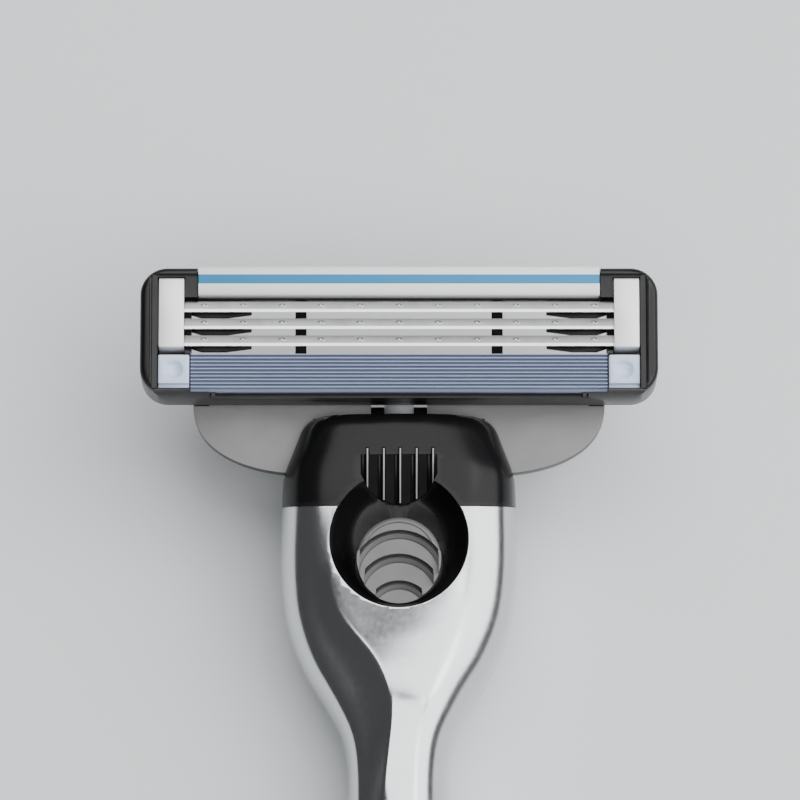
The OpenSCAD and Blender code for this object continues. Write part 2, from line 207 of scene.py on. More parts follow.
def prism(name, points, along, lo, hi):
    """A flat outline drawn out along x (points are v, w) or along w (points are x, v)."""
    put = {"x": lambda p: (lo, p[0], p[1]), "w": lambda p: (p[0], p[1], lo)}[along]
    obj = outline(name, [put(point) for point in points], "NGON")
    step = (hi - lo, 0, 0) if along == "x" else (0, 0, hi - lo)
    with editing(obj):
        bpy.ops.mesh.select_all(action="SELECT")
        bpy.ops.mesh.extrude_region_move(TRANSFORM_OT_translate={"value": step})
        bpy.ops.mesh.select_all(action="SELECT")
        bpy.ops.mesh.normals_make_consistent(inside=False)
    return obj


def lathe(name, profile, centre, steps=64):
    """A closed profile of (radius, w) points spun round a line along w through centre."""
    obj = outline(name, [(radius, 0, w) for radius, w in profile], "NOTHING")
    with editing(obj):
        bpy.ops.mesh.select_all(action="SELECT")
        bpy.ops.mesh.spin(steps=steps, angle=2 * math.pi, axis=(0, 0, 1), center=(0, 0, 0))
        bpy.ops.mesh.select_all(action="SELECT")
        bpy.ops.mesh.remove_doubles(threshold=0.0005)
        bpy.ops.mesh.delete_loose()
        bpy.ops.mesh.select_all(action="SELECT")
        bpy.ops.mesh.normals_make_consistent(inside=False)
    obj.location = centre
    take(obj)
    return settle()


def mirrored(obj, name):
    """A copy on the other side of the middle."""
    take(obj)
    bpy.ops.object.duplicate()
    twin = bpy.context.object
    twin.name = name
    twin.scale.x = -1
    settle()
    with editing(twin):
        bpy.ops.mesh.select_all(action="SELECT")
        bpy.ops.mesh.normals_make_consistent(inside=False)
    return twin


def pair(make, *values):
    """The same cutter or lug on both sides of the middle."""
    right = make(*values)
    return [right, mirrored(right, right.name + "_left")]


def duplicate(obj, name, shift=(0, 0, 0)):
    take(obj)
    bpy.ops.object.duplicate()
    twin = bpy.context.object
    twin.name = name
    twin.location = shift
    return settle()


def joined(obj, *others):
    """Several loose shells as one piece."""
    take(obj)
    for other in others:
        other.select_set(True)
    bpy.context.view_layer.objects.active = obj
    bpy.ops.object.join()
    return obj


def place(obj, body, finish, where=HEAD, smooth=32, replaces=()):
    """Sets a finished piece in its place on a body, with its finish."""
    take(obj)
    obj.matrix_world = where
    settle()
    bpy.ops.object.shade_smooth_by_angle(angle=math.radians(smooth))
    obj.data.materials.clear()
    obj.data.materials.append(finish)
    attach(obj, body)
    if replaces:
        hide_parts(*replaces)
    return obj


def second_finish(obj, finish, where, test):
    """Gives the faces that pass the test another finish of the same material."""
    obj.data.materials.append(FINISHES[finish])
    back = where.inverted()
    for face in obj.data.polygons:
        if test(back @ face.center, face):
            face.material_index = 1


def refined(node, name, body, finish, edge=0.05, replaces=None):
    """A copy of a plain CAD piece, welded up and given rounded edges."""
    obj = frame["nodes"][node].copy()
    obj.data = obj.data.copy()
    for key in list(obj.keys()):
        del obj[key]
    obj.parent = None
    obj.name = name
    bpy.context.scene.collection.objects.link(obj)
    with editing(obj):
        bpy.ops.mesh.select_all(action="SELECT")
        bpy.ops.mesh.remove_doubles(threshold=2e-6)
        bpy.ops.mesh.dissolve_limited(angle_limit=math.radians(2))
    soften(obj, edge * MM, 2, 30)
    return place(obj, body, finish, Matrix.Identity(4), 32, replaces or [node])


# ---------------------------------------------------------------- shader groups


def new_group(name, inputs, outputs):
    group = bpy.data.node_groups.new(name, "ShaderNodeTree")
    for label, kind, value in inputs:
        socket = group.interface.new_socket(label, in_out="INPUT", socket_type=kind)
        if value is not None:
            socket.default_value = value
    for label, kind in outputs:
        group.interface.new_socket(label, in_out="OUTPUT", socket_type=kind)
    return group, group.nodes.new("NodeGroupInput"), group.nodes.new("NodeGroupOutput")


def grain_group():
    """Fine moulded or ground grain: a mask and a normal from two scales of noise."""
    group, into, out = new_group(
        "moulded_grain",
        [("Vector", "NodeSocketVector", None), ("Fine Scale", "NodeSocketFloat", 9000.0),
         ("Coarse Scale", "NodeSocketFloat", 900.0), ("Depth", "NodeSocketFloat", 0.00001)],
        [("Mask", "NodeSocketFloat"), ("Normal", "NodeSocketVector")])
    nodes, links = group.nodes, group.links
    fine = nodes.new("ShaderNodeTexNoise")
    fine.inputs["Detail"].default_value = 3
    coarse = nodes.new("ShaderNodeTexNoise")
    coarse.inputs["Detail"].default_value = 2
    mix = nodes.new("ShaderNodeMix")
    mix.inputs[0].default_value = 0.35
    bump = nodes.new("ShaderNodeBump")
    bump.inputs["Strength"].default_value = 0.6
    links.new(into.outputs["Vector"], fine.inputs["Vector"])
    links.new(into.outputs["Vector"], coarse.inputs["Vector"])
    links.new(into.outputs["Fine Scale"], fine.inputs["Scale"])
    links.new(into.outputs["Coarse Scale"], coarse.inputs["Scale"])
    links.new(fine.outputs["Fac"], mix.inputs[2])
    links.new(coarse.outputs["Fac"], mix.inputs[3])
    links.new(mix.outputs[0], bump.inputs["Height"])
    links.new(into.outputs["Depth"], bump.inputs["Distance"])
    links.new(mix.outputs[0], out.inputs["Mask"])
    links.new(bump.outputs["Normal"], out.inputs["Normal"])
    return group


def wear_group():
    """Rubbed edges and slight soiling: a colour from corners and a slow noise."""
    group, into, out = new_group(
        "handled_wear",
        [("Vector", "NodeSocketVector", None), ("Color", "NodeSocketColor", None),
         ("Worn Color", "NodeSocketColor", None), ("Edge", "NodeSocketFloat", 0.4),
         ("Shift", "NodeSocketFloat", 0.1), ("Scale", "NodeSocketFloat", 500.0)],
        [("Color", "NodeSocketColor"), ("Mask", "NodeSocketFloat")])
    nodes, links = group.nodes, group.links
    geometry = nodes.new("ShaderNodeNewGeometry")
    corner = nodes.new("ShaderNodeMapRange")
    corner.inputs["From Min"].default_value = 0.52
    corner.inputs["From Max"].default_value = 0.62
    noise = nodes.new("ShaderNodeTexNoise")
    noise.inputs["Detail"].default_value = 4
    broken = nodes.new("ShaderNodeMath")
    broken.operation = "MULTIPLY"
    amount = nodes.new("ShaderNodeMath")
    amount.operation = "MULTIPLY"
    tone = nodes.new("ShaderNodeMath")
    tone.operation = "SUBTRACT"
    tone.inputs[1].default_value = 0.5
    shifted = nodes.new("ShaderNodeMath")
    shifted.operation = "MULTIPLY_ADD"
    shifted.inputs[2].default_value = 1.0
    body = nodes.new("ShaderNodeVectorMath")
    body.operation = "SCALE"
    mix = nodes.new("ShaderNodeMix")
    mix.data_type = "RGBA"
    links.new(into.outputs["Vector"], noise.inputs["Vector"])
    links.new(into.outputs["Scale"], noise.inputs["Scale"])
    links.new(geometry.outputs["Pointiness"], corner.inputs["Value"])
    links.new(corner.outputs["Result"], broken.inputs[0])
    links.new(noise.outputs["Fac"], broken.inputs[1])
    links.new(broken.outputs[0], amount.inputs[0])
    links.new(into.outputs["Edge"], amount.inputs[1])
    links.new(noise.outputs["Fac"], tone.inputs[0])
    links.new(tone.outputs[0], shifted.inputs[0])
    links.new(into.outputs["Shift"], shifted.inputs[1])
    links.new(into.outputs["Color"], body.inputs[0])
    links.new(shifted.outputs[0], body.inputs["Scale"])
    links.new(amount.outputs[0], mix.inputs[0])
    links.new(body.outputs[0], mix.inputs[6])
    links.new(into.outputs["Worn Color"], mix.inputs[7])
    links.new(mix.outputs[2], out.inputs["Color"])
    links.new(amount.outputs[0], out.inputs["Mask"])
    return group


GRAIN = grain_group()
WEAR = wear_group()


def linear(red, green, blue):
    """Screen colour from 0 to 255 as scene-linear, with alpha."""
    def channel(c):
        c = c / 255
        return c / 12.92 if c <= 0.04045 else ((c + 0.055) / 1.055) ** 2.4
    return (channel(red), channel(green), channel(blue), 1)


class Finish:
    """One material: a Principled shader with grain, wear and a roughness that varies."""

    def __init__(self, name, colour, worn, rough=(0.3, 0.4), grain=(9000, 900, 0.00001),
                 edge=0.3, shift=0.12, **settings):
        self.material = bpy.data.materials.new(name)
        self.material.use_nodes = True
        self.nodes = self.material.node_tree.nodes
        self.links = self.material.node_tree.links
        self.shader = self.nodes["Principled BSDF"]
        self.where = self.nodes.new("ShaderNodeTexCoord").outputs["Object"]
        self.grain = self.group(GRAIN)
        self.grain.inputs["Fine Scale"].default_value = grain[0]
        self.grain.inputs["Coarse Scale"].default_value = grain[1]
        self.grain.inputs["Depth"].default_value = grain[2]
        self.wear = self.group(WEAR)
        self.wear.inputs["Color"].default_value = colour
        self.wear.inputs["Worn Color"].default_value = worn
        self.wear.inputs["Edge"].default_value = edge
        self.wear.inputs["Shift"].default_value = shift
        spread = self.nodes.new("ShaderNodeMapRange")
        spread.inputs["From Min"].default_value = 0.3
        spread.inputs["From Max"].default_value = 0.7
        spread.inputs["To Min"].default_value = rough[0]
        spread.inputs["To Max"].default_value = rough[1]
        self.links.new(self.grain.outputs["Mask"], spread.inputs["Value"])
        self.links.new(spread.outputs["Result"], self.shader.inputs["Roughness"])
        self.links.new(self.grain.outputs["Normal"], self.shader.inputs["Normal"])
        self.links.new(self.wear.outputs["Color"], self.shader.inputs["Base Color"])
        for label, value in settings.items():
            self.shader.inputs[label.replace("_", " ")].default_value = value

    def group(self, tree):
        node = self.nodes.new("ShaderNodeGroup")
        node.node_tree = tree
        self.links.new(self.where, node.inputs["Vector"])
        return node

    def tint_along(self, axis, low, high, stops):
        """Colour that follows the distance along an axis of the object, between two places."""
        dot = self.nodes.new("ShaderNodeVectorMath")
        dot.operation = "DOT_PRODUCT"
        dot.inputs[1].default_value = axis
        span = self.nodes.new("ShaderNodeMapRange")
        span.inputs["From Min"].default_value = low
        span.inputs["From Max"].default_value = high
        ramp = self.nodes.new("ShaderNodeValToRGB")
        for place_at, colour in stops[1:-1]:
            ramp.color_ramp.elements.new(place_at).color = colour
        ramp.color_ramp.elements[0].color = stops[0][1]
        ramp.color_ramp.elements[-1].color = stops[-1][1]
        self.links.new(self.where, dot.inputs[0])
        self.links.new(dot.outputs["Value"], span.inputs["Value"])
        self.links.new(span.outputs["Result"], ramp.inputs["Fac"])
        self.links.new(ramp.outputs["Color"], self.wear.inputs["Color"])
        return self


def chrome():
    return Finish("handle_chrome", linear(204, 206, 209), linear(222, 222, 223), (0.16, 0.22),
                  (2500, 160, 0.0000004), 0.2, 0.03, Metallic=1.0).material


def collar_plastic():
    return Finish("collar_plastic", linear(17, 17, 18), linear(60, 60, 62), (0.2, 0.27),
                  (14000, 1500, 0.000002), 0.3, 0.1, Specular_IOR_Level=0.2).material


# a pale grey plastic painted on the rib crests as a highlight
def rib_highlight_plastic():
    return Finish("rib_highlight_plastic", linear(158, 158, 160), linear(190, 190, 191), (0.22, 0.3),
                  (14000, 1500, 0.000002), 0.3, 0.1).material


def housing_plastic():
    return Finish("housing_plastic", linear(16, 16, 17), linear(70, 70, 72), (0.26, 0.36),
                  (14000, 1500, 0.000002), 0.35, 0.12, Specular_IOR_Level=0.3).material


def cover_plastic():
    return Finish("cover_plastic", linear(36, 36, 38), linear(90, 90, 92), (0.45, 0.6),
                  (12000, 1200, 0.000006)).material


def slider_plastic():
    return Finish("slider_plastic", linear(84, 86, 90), linear(120, 122, 126), (0.35, 0.5),
                  (12000, 1200, 0.000004)).material


def plunger_plastic():
    return Finish("plunger_plastic", linear(196, 198, 202), linear(225, 226, 228), (0.25, 0.35),
                  (12000, 1200, 0.000002), Subsurface_Weight=0.1).material


def grip_rubber():
    return Finish("grip_rubber", linear(44, 45, 47), linear(74, 75, 77), (0.62, 0.8),
                  (7000, 700, 0.00002), 0.3, 0.2, Sheen_Weight=0.25, Sheen_Roughness=0.4).material


def button_plastic():
    return Finish("button_plastic", linear(97, 97, 97), linear(145, 145, 145), (0.36, 0.48),
                  (16000, 1400, 0.000003), 0.35, 0.06).material


def yoke_plastic():
    return Finish("yoke_plastic", linear(128, 128, 128), linear(165, 165, 165), (0.42, 0.55),
                  (16000, 1400, 0.000003), 0.3, 0.05).material


def spring_steel():
    return Finish("spring_steel", linear(190, 190, 192), linear(215, 215, 216), (0.2, 0.32),
                  (9000, 900, 0.000002), Metallic=1.0).material


def support_steel():
    return Finish("support_steel", linear(130, 130, 132), linear(170, 170, 172), (0.35, 0.5),
                  (9000, 1200, 0.000003), Metallic=1.0).material


def blade_steel():
    return Finish("blade_steel", linear(142, 142, 143), linear(210, 210, 210), (0.25, 0.42),
                  (14000, 700, 0.000002), 0.3, 0.35, Metallic=1.0).material


# near white: the honed facet's own polish and a painted highlight together
def honed_edge_glint():
    return Finish("honed_edge_glint", linear(250, 252, 251), linear(255, 255, 255), (0.3, 0.4),
                  (20000, 3000, 0.000001), 0.1, 0.04, Metallic=0.6).material


def clip_aluminium():
    return Finish("clip_aluminium", linear(243, 243, 244), linear(250, 250, 250), (0.38, 0.5),
                  (16000, 2500, 0.000003), 0.2, 0.05, Metallic=0.55).material


def pad_gel():
    return Finish("pad_gel", linear(206, 222, 254), linear(236, 242, 255), (0.18, 0.3),
                  (7000, 900, 0.000003), 0.4, 0.1, Subsurface_Weight=0.2,
                  Subsurface_Radius=(0.0006, 0.0009, 0.0016), Subsurface_Scale=1.0,
                  Coat_Weight=0.3, Coat_Roughness=0.15).material


def strip_white():
    return Finish("strip_white", linear(252, 253, 254), linear(254, 254, 254), (0.55, 0.7),
                  (9000, 1500, 0.000005), 0.1, 0.04, Subsurface_Weight=0.1,
                  Subsurface_Radius=(0.0003, 0.0003, 0.0003), Subsurface_Scale=1.0).material


def strip_blue():
    return Finish("strip_blue", linear(42, 134, 184), linear(100, 176, 210), (0.55, 0.7),
                  (9000, 1500, 0.000005), 0.1, 0.06).material


def guard_rubber():
    finish = Finish("guard_rubber", linear(112, 124, 166), linear(198, 212, 240), (0.45, 0.6),
                    (9000, 1200, 0.000003), 0.2, 0.06)
    skin = (FACE @ Vector((0, 0, 0))).dot(W_AXIS)
    # the top of each fin is painted much lighter than its valleys: a painted highlight on the fin tips
    return finish.tint_along(W_AXIS, skin - 0.62 * MM, skin - 0.08 * MM, [
        (0, linear(122, 133, 158)), (0.75, linear(118, 129, 156)), (1, linear(200, 213, 238))
    ]).material


FINISHES = {make.__name__: make() for make in (
    chrome, collar_plastic, rib_highlight_plastic, housing_plastic, cover_plastic, slider_plastic,
    plunger_plastic, grip_rubber, button_plastic, yoke_plastic, spring_steel, support_steel,
    blade_steel, honed_edge_glint, clip_aluminium, pad_gel, strip_white, strip_blue, guard_rubber)}

# ---------------------------------------------------------------- the lofted body


def lift(v, w):
    """Height above the table of a point in the head frame, in mm."""
    return (HEAD @ Vector((0, v, w))).z / MM


def sink(v, height):
    """The w of a point of the head frame at a height above the table."""
    return (height - lift(v, 0)) / math.cos(LEAN)


def stations():
    """Along the neck: v, half width, lowest and highest height above the table, squareness."""
    near_butt = -(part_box("handle_shell")[0] - HEAD_ORIGIN).dot(V_AXIS) / MM
    butt = -near_butt + 0.8
    return [
        (butt, 1.6, 3.6, 6.2, 2.2), (butt + 0.6, 3.0, 2.0, 7.6, 2.2), (butt + 2.2, 4.1, 0.8, 8.7, 2.3),
        (butt + 5.2, 4.75, 0.0, 9.5, 2.4), (-110, 5.15, -0.1, 10.2, 2.5), (-98, 5.55, 0.35, 11, 2.6),
        (-82, 5.95, 0.9, 11.8, 2.6), (-66, 6.05, 1.2, 12.2, 2.6), (-50, 5.65, 1.15, 12, 2.6),
        (-38, 4.95, 0.9, 11.4, 2.5), (-30, 4.35, 0.55, 10.8, 2.4), (-24, 4.0, 0.2, 10.4, 2.4),
        (-19.8, 4.1, -0.05, 10.3, 2.5), (-17.6, 4.75, -0.12, 10.35, 2.5),
        (-15.6, 5.85, -0.1, lift(-15.6, 4.7), 2.6), (-13.2, 7.4, 0.1, lift(-13.2, 5.05), 2.8),
        (-11.7, 8.1, lift(-11.7, -5.9), lift(-11.7, 5.2), 2.9),
        (-10.3, 8.65, lift(-10.3, -5.95), lift(-10.3, 5.35), 3),
        (-8.8, 9.1, lift(-8.8, -5.95), lift(-8.8, 5.45), 3.1),
        (-7.4, 9.35, lift(-7.4, -5.95), lift(-7.4, 5.55), 3.2),
        (-4.2, 9.65, lift(-4.2, -5.85), lift(-4.2, 5.7), 3.3),
        (0, 9.52, lift(0, -5.6), lift(0, 5.65), 3.3), (1.9, 9.48, lift(1.9, -5.3), lift(1.9, 5.48), 3.3),
        (3.4, 9.42, lift(3.4, -5), lift(3.4, 5.28), 3.2), (4.6, 8.95, lift(4.6, -4.75), lift(4.6, 5.05), 3.1),
        (6.4, 8.25, lift(6.4, -4.3), lift(6.4, 4.65), 3), (8.8, 7.5, lift(8.8, -3.9), lift(8.8, 4.0), 3),
    ]


def between(table, at):
    """Straight-line value at a place, from (place, value) pairs in rising order."""
    if at <= table[0][0]:
        return table[0][1]
    for (a, low), (b, high) in zip(table, table[1:]):
        if at <= b:
            return low + (high - low) * (at - a) / (b - a)
    return table[-1][1]


# The ridge that frames the facet below the pocket, and how deep the scoop beside it is.
RIDGE_X = [(-60, 2.6), (-30, 2.0), (-20.9, 1.05), (-18.4, 0.62), (-15.9, 0.42), (-14.3, 0.75),
           (-12.1, 1.9), (-10.7, 3.3), (-8.6, 4.9), (-5.3, 5.7), (0, 6.3), (9, 5.6)]
SCOOP = [(-44, 0), (-32, 0.25), (-24, 0.6), (-20, 0.65), (-17.5, 0.7), (-15, 0.8), (-12, 0.85),
         (-10, 0.7), (-8, 0.5), (-5, 0.25), (-2, 0.08), (0, 0)]
SHOULDER_LIFT = [(-40, 0), (-26, 0.3), (-22, 0.5), (-17, 0.55), (-13.5, 0.15), (-11, 0), (0, 0)]
SHOULDERS = (0.86, 0.975)          # share of the half width at the ring's corner points


def ring(station):
    """The ring of cage points at one station, from the top middle round to the right."""
    v, half, low, high, squareness = station
    low, high = sink(v, low), sink(v, high)
    middle, tall = (low + high) / 2, (high - low) / 2

    def rise(x):
        return tall * max(0.0, 1 - abs(x / half) ** squareness) ** (1 / squareness)

    ridge = min(between(RIDGE_X, v), 0.62 * half)
    scoop = ridge + 0.52 * (SHOULDERS[0] * half - ridge)
    near, far = SHOULDERS[0] * half, SHOULDERS[1] * half
    right = [
        (ridge, rise(ridge) + 0.1 * between(SCOOP, v)), (scoop, rise(scoop) - between(SCOOP, v)),
        (near, rise(near)), (far, rise(far)), (half, 0), (far, -rise(far)), (near, -rise(near)),
        (0.5 * half, -rise(0.5 * half)),
    ]
    left = [(-x, w) for x, w in reversed(right)]
    left[-3] = (-near, rise(near) + between(SHOULDER_LIFT, v))
    # the right side rounds over with no scoop
    right[0], right[1] = (0.3 * half, rise(0.3 * half)), (0.6 * half, rise(0.6 * half))
    points = [(0, tall)] + right + [(0, -tall)] + left
    swell = 1.012                   # the smooth surface lies a little inside its cage
    return [Vector((x * swell, v, middle + w * swell)) for x, w in points]


def body_cage():
    """The whole handle and collar: a ring drawn out station by station, then subdivided."""
    rows = [ring(station) for station in stations()]
    sides = len(rows[0])
    deselect()
    bpy.ops.mesh.primitive_circle_add(vertices=sides, radius=1, fill_type="NGON")
    obj = bpy.context.object
    obj.name = "body_cage"

    def move_selected(row):
        mesh = bmesh.from_edit_mesh(obj.data)
        chosen = sorted((v for v in mesh.verts if v.select), key=lambda v: v.index)
        for vertex, point in zip(chosen, row):
            vertex.co = point
        bmesh.update_edit_mesh(obj.data)

    with editing(obj):
        bpy.ops.mesh.select_all(action="SELECT")
        move_selected(rows[0])
        for row in rows[1:]:
            bpy.ops.mesh.extrude_region_move()
            move_selected(row)
        bpy.ops.mesh.select_all(action="SELECT")
        bpy.ops.mesh.normals_make_consistent(inside=False)
        ridge_points = {tuple(round(c, 4) for c in row[i]) for row in rows if -30 < row[0].y < -4
                        for i in (sides - 1,)}
        select(obj, "EDGE", lambda middle, edge: all(
            tuple(round(c, 4) for c in v.co) in ridge_points for v in edge.verts)
            and abs(edge.verts[0].co.y - edge.verts[1].co.y) > 0.1)
        bpy.ops.transform.edge_crease(value=0.9)
    return apply(obj, "SUBSURF", levels=3, render_levels=3)


def slice_off(obj, point, normal):
    """Cuts a solid with a plane, keeps the side that the normal points away from, and closes it."""
    with editing(obj):
        bpy.ops.mesh.select_all(action="SELECT")
        bpy.ops.mesh.bisect(plane_co=point, plane_no=normal, use_fill=True, clear_outer=True)
    return obj


TABLE_POINT = (HEAD.inverted() @ Vector((0, 0, 0)))
TABLE_DOWN = (HEAD.inverted().to_3x3() @ Vector((0, 0, -1))).normalized()

BODY = slice_off(body_cage(), TABLE_POINT, TABLE_DOWN)

POCKET_V, POCKET_R, POCKET_FLOOR = -2.65, 5.65, 2.9
BUTTON_V, BUTTON_R = -4.37, 3.4
PADS = {"thumb": ((-46, 18), 7.0, 10.3, 1), "finger": ((-40, 8), 6.4, 2.2, -1)}


def stadium(name, ends, width, lo, hi):
    """A pad's outline on the table plane, as a tall solid set in the head frame."""
    steps = 16
    r = width / 2
    arc = [math.pi * i / steps for i in range(steps + 1)]
    points = [(r * math.cos(a), ends[1] - r + r * math.sin(a)) for a in arc]
    points += [(-r * math.cos(a), ends[0] + r - r * math.sin(a)) for a in arc]
    obj = prism(name, points, "w", lo, hi)
    take(obj)
    obj.matrix_world = HEAD.inverted() @ Matrix.Scale(MM, 4)
    return settle()


def plug_block(name, grow):
    """The tapered plug that carries the mechanism down inside the handle."""
    side, end = 6.8 + grow, 4.8 + grow
    return prism(name, [(side, 3), (side, -7.5), (end, -12.3 - grow), (-end, -12.3 - grow),
                        (-side, -7.5), (-side, 3)], "w", -3.5 - grow, 2.6 + grow)


JOINT_FRONT = 5.65                 # the joint of handle and collar leans forwards from here
JOINT_NORMAL = Vector((0, math.cos(math.radians(9.4)), math.sin(math.radians(9.4))))


def handle_shell():
    obj = duplicate(BODY, "handle_casting")
    slice_off(obj, (0, -0.02, JOINT_FRONT), JOINT_NORMAL)
    cut(obj, rod("pocket_hole", (0, POCKET_V, 2.5), (0, POCKET_V, 9), POCKET_R, 96))
    for ends, width, seat, side in PADS.values():
        lo, hi = (seat, 20) if side > 0 else (-8, seat)
        cut(obj, stadium("pad_seat", ends, width, lo, hi))
    cut(obj, plug_block("plug_room", 0.05))
    weld(obj)
    soften(obj, 0.04, 2, 40)
    place(obj, "handle", FINISHES["chrome"], smooth=50, replaces=["handle_shell"])
    return apply(obj, "WEIGHTED_NORMAL", keep_sharp=True)


def grip(name, key, node, groove_step=2.1):
    """A rubber pad that stands slightly proud of the handle, with grooves across it."""
    ends, width, seat, side = PADS[key]
    obj = duplicate(BODY, name)
    with editing(obj):
        bpy.ops.mesh.select_all(action="SELECT")
        bpy.ops.transform.shrink_fatten(value=0.28)
    lo, hi = (seat + 0.02, 20) if side > 0 else (-8, seat - 0.02)
    keep_inside(obj, stadium("pad_outline", (ends[0] + 0.06, ends[1] - 0.06), width - 0.12, lo, hi))
    count = int((ends[1] - ends[0] - 8) / groove_step)
    back = HEAD.inverted() @ Matrix.Scale(MM, 4)
    grooves = []
    for i in range(count):
        y = ends[0] + 4.5 + groove_step * i
        reach, height = width / 2 - 0.9, surface_height(y, side) + 0.16 * side
        start, end = (back @ Vector((x, y, height)) for x in (-reach, reach))
        grooves.append(rod("groove", start, end, 0.42, 12))
    cut(obj, joined(*grooves))
    soften(obj, 0.12, 2, 40)
    return place(obj, "handle", FINISHES["grip_rubber"], replaces=[node])


def surface_height(y, side):
    """Height above the table of the body's skin on the middle line, at a y in mm."""
    best = None
    for vertex in BODY.data.vertices:
        point = HEAD @ vertex.co / MM
        if abs(point.x) < 0.5 and side * (point.z - 6) > 0:
            miss = abs(point.y - y)
            if best is None or miss < best[0]:
                best = (miss, point.z)
    return best[1]


# ---------------------------------------------------------------- collar, pocket and mechanism

RAMP = ((0.5, 3.2), (5.2, 5.5))            # ends of the ribbed ramp's floor: v and w
TONGUE_V, TONGUE_R, TONGUE_HALF = 3.9, 3.3, 3.1      # the ramp's rounded lower end
RIB_STEP, RIB_R = 1.33, 0.15


def ramp_height(v):
    (near, low), (far, high) = RAMP
    return low + (high - low) * (v - near) / (far - near)


def above_ramp(name, rise=0.0):
    start, end = -1, 6
    return prism(name, [(start, ramp_height(start) + rise), (end, ramp_height(end) + rise),
                        (end, 12), (start, 12)], "x", -8, 8)


def tongue_block(name, lo, hi, slack=0.0):
    """The outline of the tongue that runs down from the collar into the pocket."""
    obj = rod(name, (0, TONGUE_V, lo), (0, TONGUE_V, hi), TONGUE_R - slack, 96)
    half = TONGUE_HALF - slack
    return keep_inside(obj, box("tongue_sides", (-half, -5, lo), (half, TONGUE_V + 0.5 - slack, hi)))


def ramp_bar(name, x, start, rise, radius):
    """A round bar that lies along the ramp."""
    ends = [(x, v, ramp_height(v) + rise) for v in (start, TONGUE_V + 1)]
    return rod(name, *ends, radius, 16)


def rib_places():
    return [RIB_STEP * i + 0.1 for i in range(-2, 3)]


def ramp_tongue():
    """The tongue, with five fine ribs down it and a groove on one side of each."""
    obj = tongue_block("ramp_tongue", 2.4, 7, 0.02)
    cut(obj, above_ramp("tongue_top"))
    ribs = []
    for x in rib_places():
        tip = TONGUE_V - math.sqrt(TONGUE_R ** 2 - x ** 2)
        cut(obj, ramp_bar("groove", x - 0.32, tip - 1, 0.04, 0.19))
        ribs.append(soften(ramp_bar("rib", x, tip + 0.08, 0.03, RIB_R), 0.05))
    return joined(soften(obj, 0.05, 2, 40), *ribs)


def stem_slot():
    """Where the button's stem passes through and slides."""
    return box("stem_slot", (-1.7, BUTTON_V - 2.9, 1.5), (1.7, BUTTON_V + 2.3, 3))


def docking_body():
    obj = duplicate(BODY, "collar")
    slice_off(obj, (0, 8, 0), (0, 1, 0))
    lower = duplicate(obj, "pocket_wall")
    slice_off(obj, (0, 0.02, JOINT_FRONT), -JOINT_NORMAL)
    keep_inside(lower, rod("pocket_round", (0, POCKET_V, 2.3), (0, POCKET_V, 9), POCKET_R - 0.05, 96))
    slice_off(lower, (0, 0.5, 0), (0, 1, 0))
    fuse(obj, lower)
    profile = [(0, 9), (5.58, 9), (5.58, 5.3), (5.45, 5.0), (5.3, 4.7), (5.1, 4.3), (4.85, 3.9), (4.5, 3.4),
               (4.1, 3.05), (3.6, POCKET_FLOOR), (0, POCKET_FLOOR)]
    cut(obj, lathe("bowl", profile, (0, POCKET_V, 0), 96))
    cut(obj, keep_inside(tongue_block("tongue_well", 2, 12), above_ramp("well_floor", -0.45)))
    cut(obj, rod("button_well", (0, BUTTON_V, POCKET_FLOOR), (0, BUTTON_V, 9), BUTTON_R + 0.15, 96),
        stem_slot(),
        box("chamber_end", (-3.5, -1, -1.9), (3.5, 1.5, 2.3)),
        rod("plunger_bore", (0, -3, 0), (0, 12, 0), 1.28))
    cut(obj, *pair(box, "finger_way", (2.1, 1, -0.6), (3.5, 12, 2.25)))
    cut(obj, *pair(box, "yoke_groove", (6.8, 3.2, 0), (14, 12, 1.4)))
    cut(obj, box("back_flat", (-14, 4.5, -9), (14, 12, -2.9)))
    weld(obj)
    soften(obj, 0.07, 2, 40)
    plug = plug_block("plug", 0)
    cut(plug, box("chamber", (-3.5, -11.5, -5), (3.5, 6, 2.25)), stem_slot())
    slice_off(plug, (0, -0.02, JOINT_FRONT), JOINT_NORMAL)
    soften(plug, 0.1, 2)
    joined(obj, plug, ramp_tongue())
    place(obj, "handle", FINISHES["collar_plastic"], replaces=["docking_body"])
    # the crests of the ribs get a pale plastic: a painted highlight along each rib
    second_finish(obj, "rib_highlight_plastic", HEAD, lambda middle, face: (
        any(abs(middle.x - x) < 0.06 for x in rib_places())
        and 0.5 * TONGUE_R < middle.y < TONGUE_V + 0.9
        and 0.18 < middle.z - ramp_height(middle.y) < 0.21))
    return apply(obj, "WEIGHTED_NORMAL", keep_sharp=True)


RISERS = ((-2.68, 3.3, 3.2), (-4.53, 3.0, 2.8), (-6.62, 2.2, 1.9))    # foot, radius, half width
LEVELS = (6.1, 5.55, 5.0, 4.45)


def riser_cutter(foot, radius, half, level):
    """What is cut away above one tread: a cone whose wall leans back, with straight sides."""
    deselect()
    height = 3.0
    bpy.ops.mesh.primitive_cone_add(vertices=96, radius1=radius, radius2=radius + 0.9 * height,
                                    depth=height, location=(0, foot - radius, level + height / 2))
    cone = bpy.context.object
    cone.name = "riser_cutter"
    settle()
    return keep_inside(cone, box("sides", (-half, -20, 0), (half, 5, 12)))


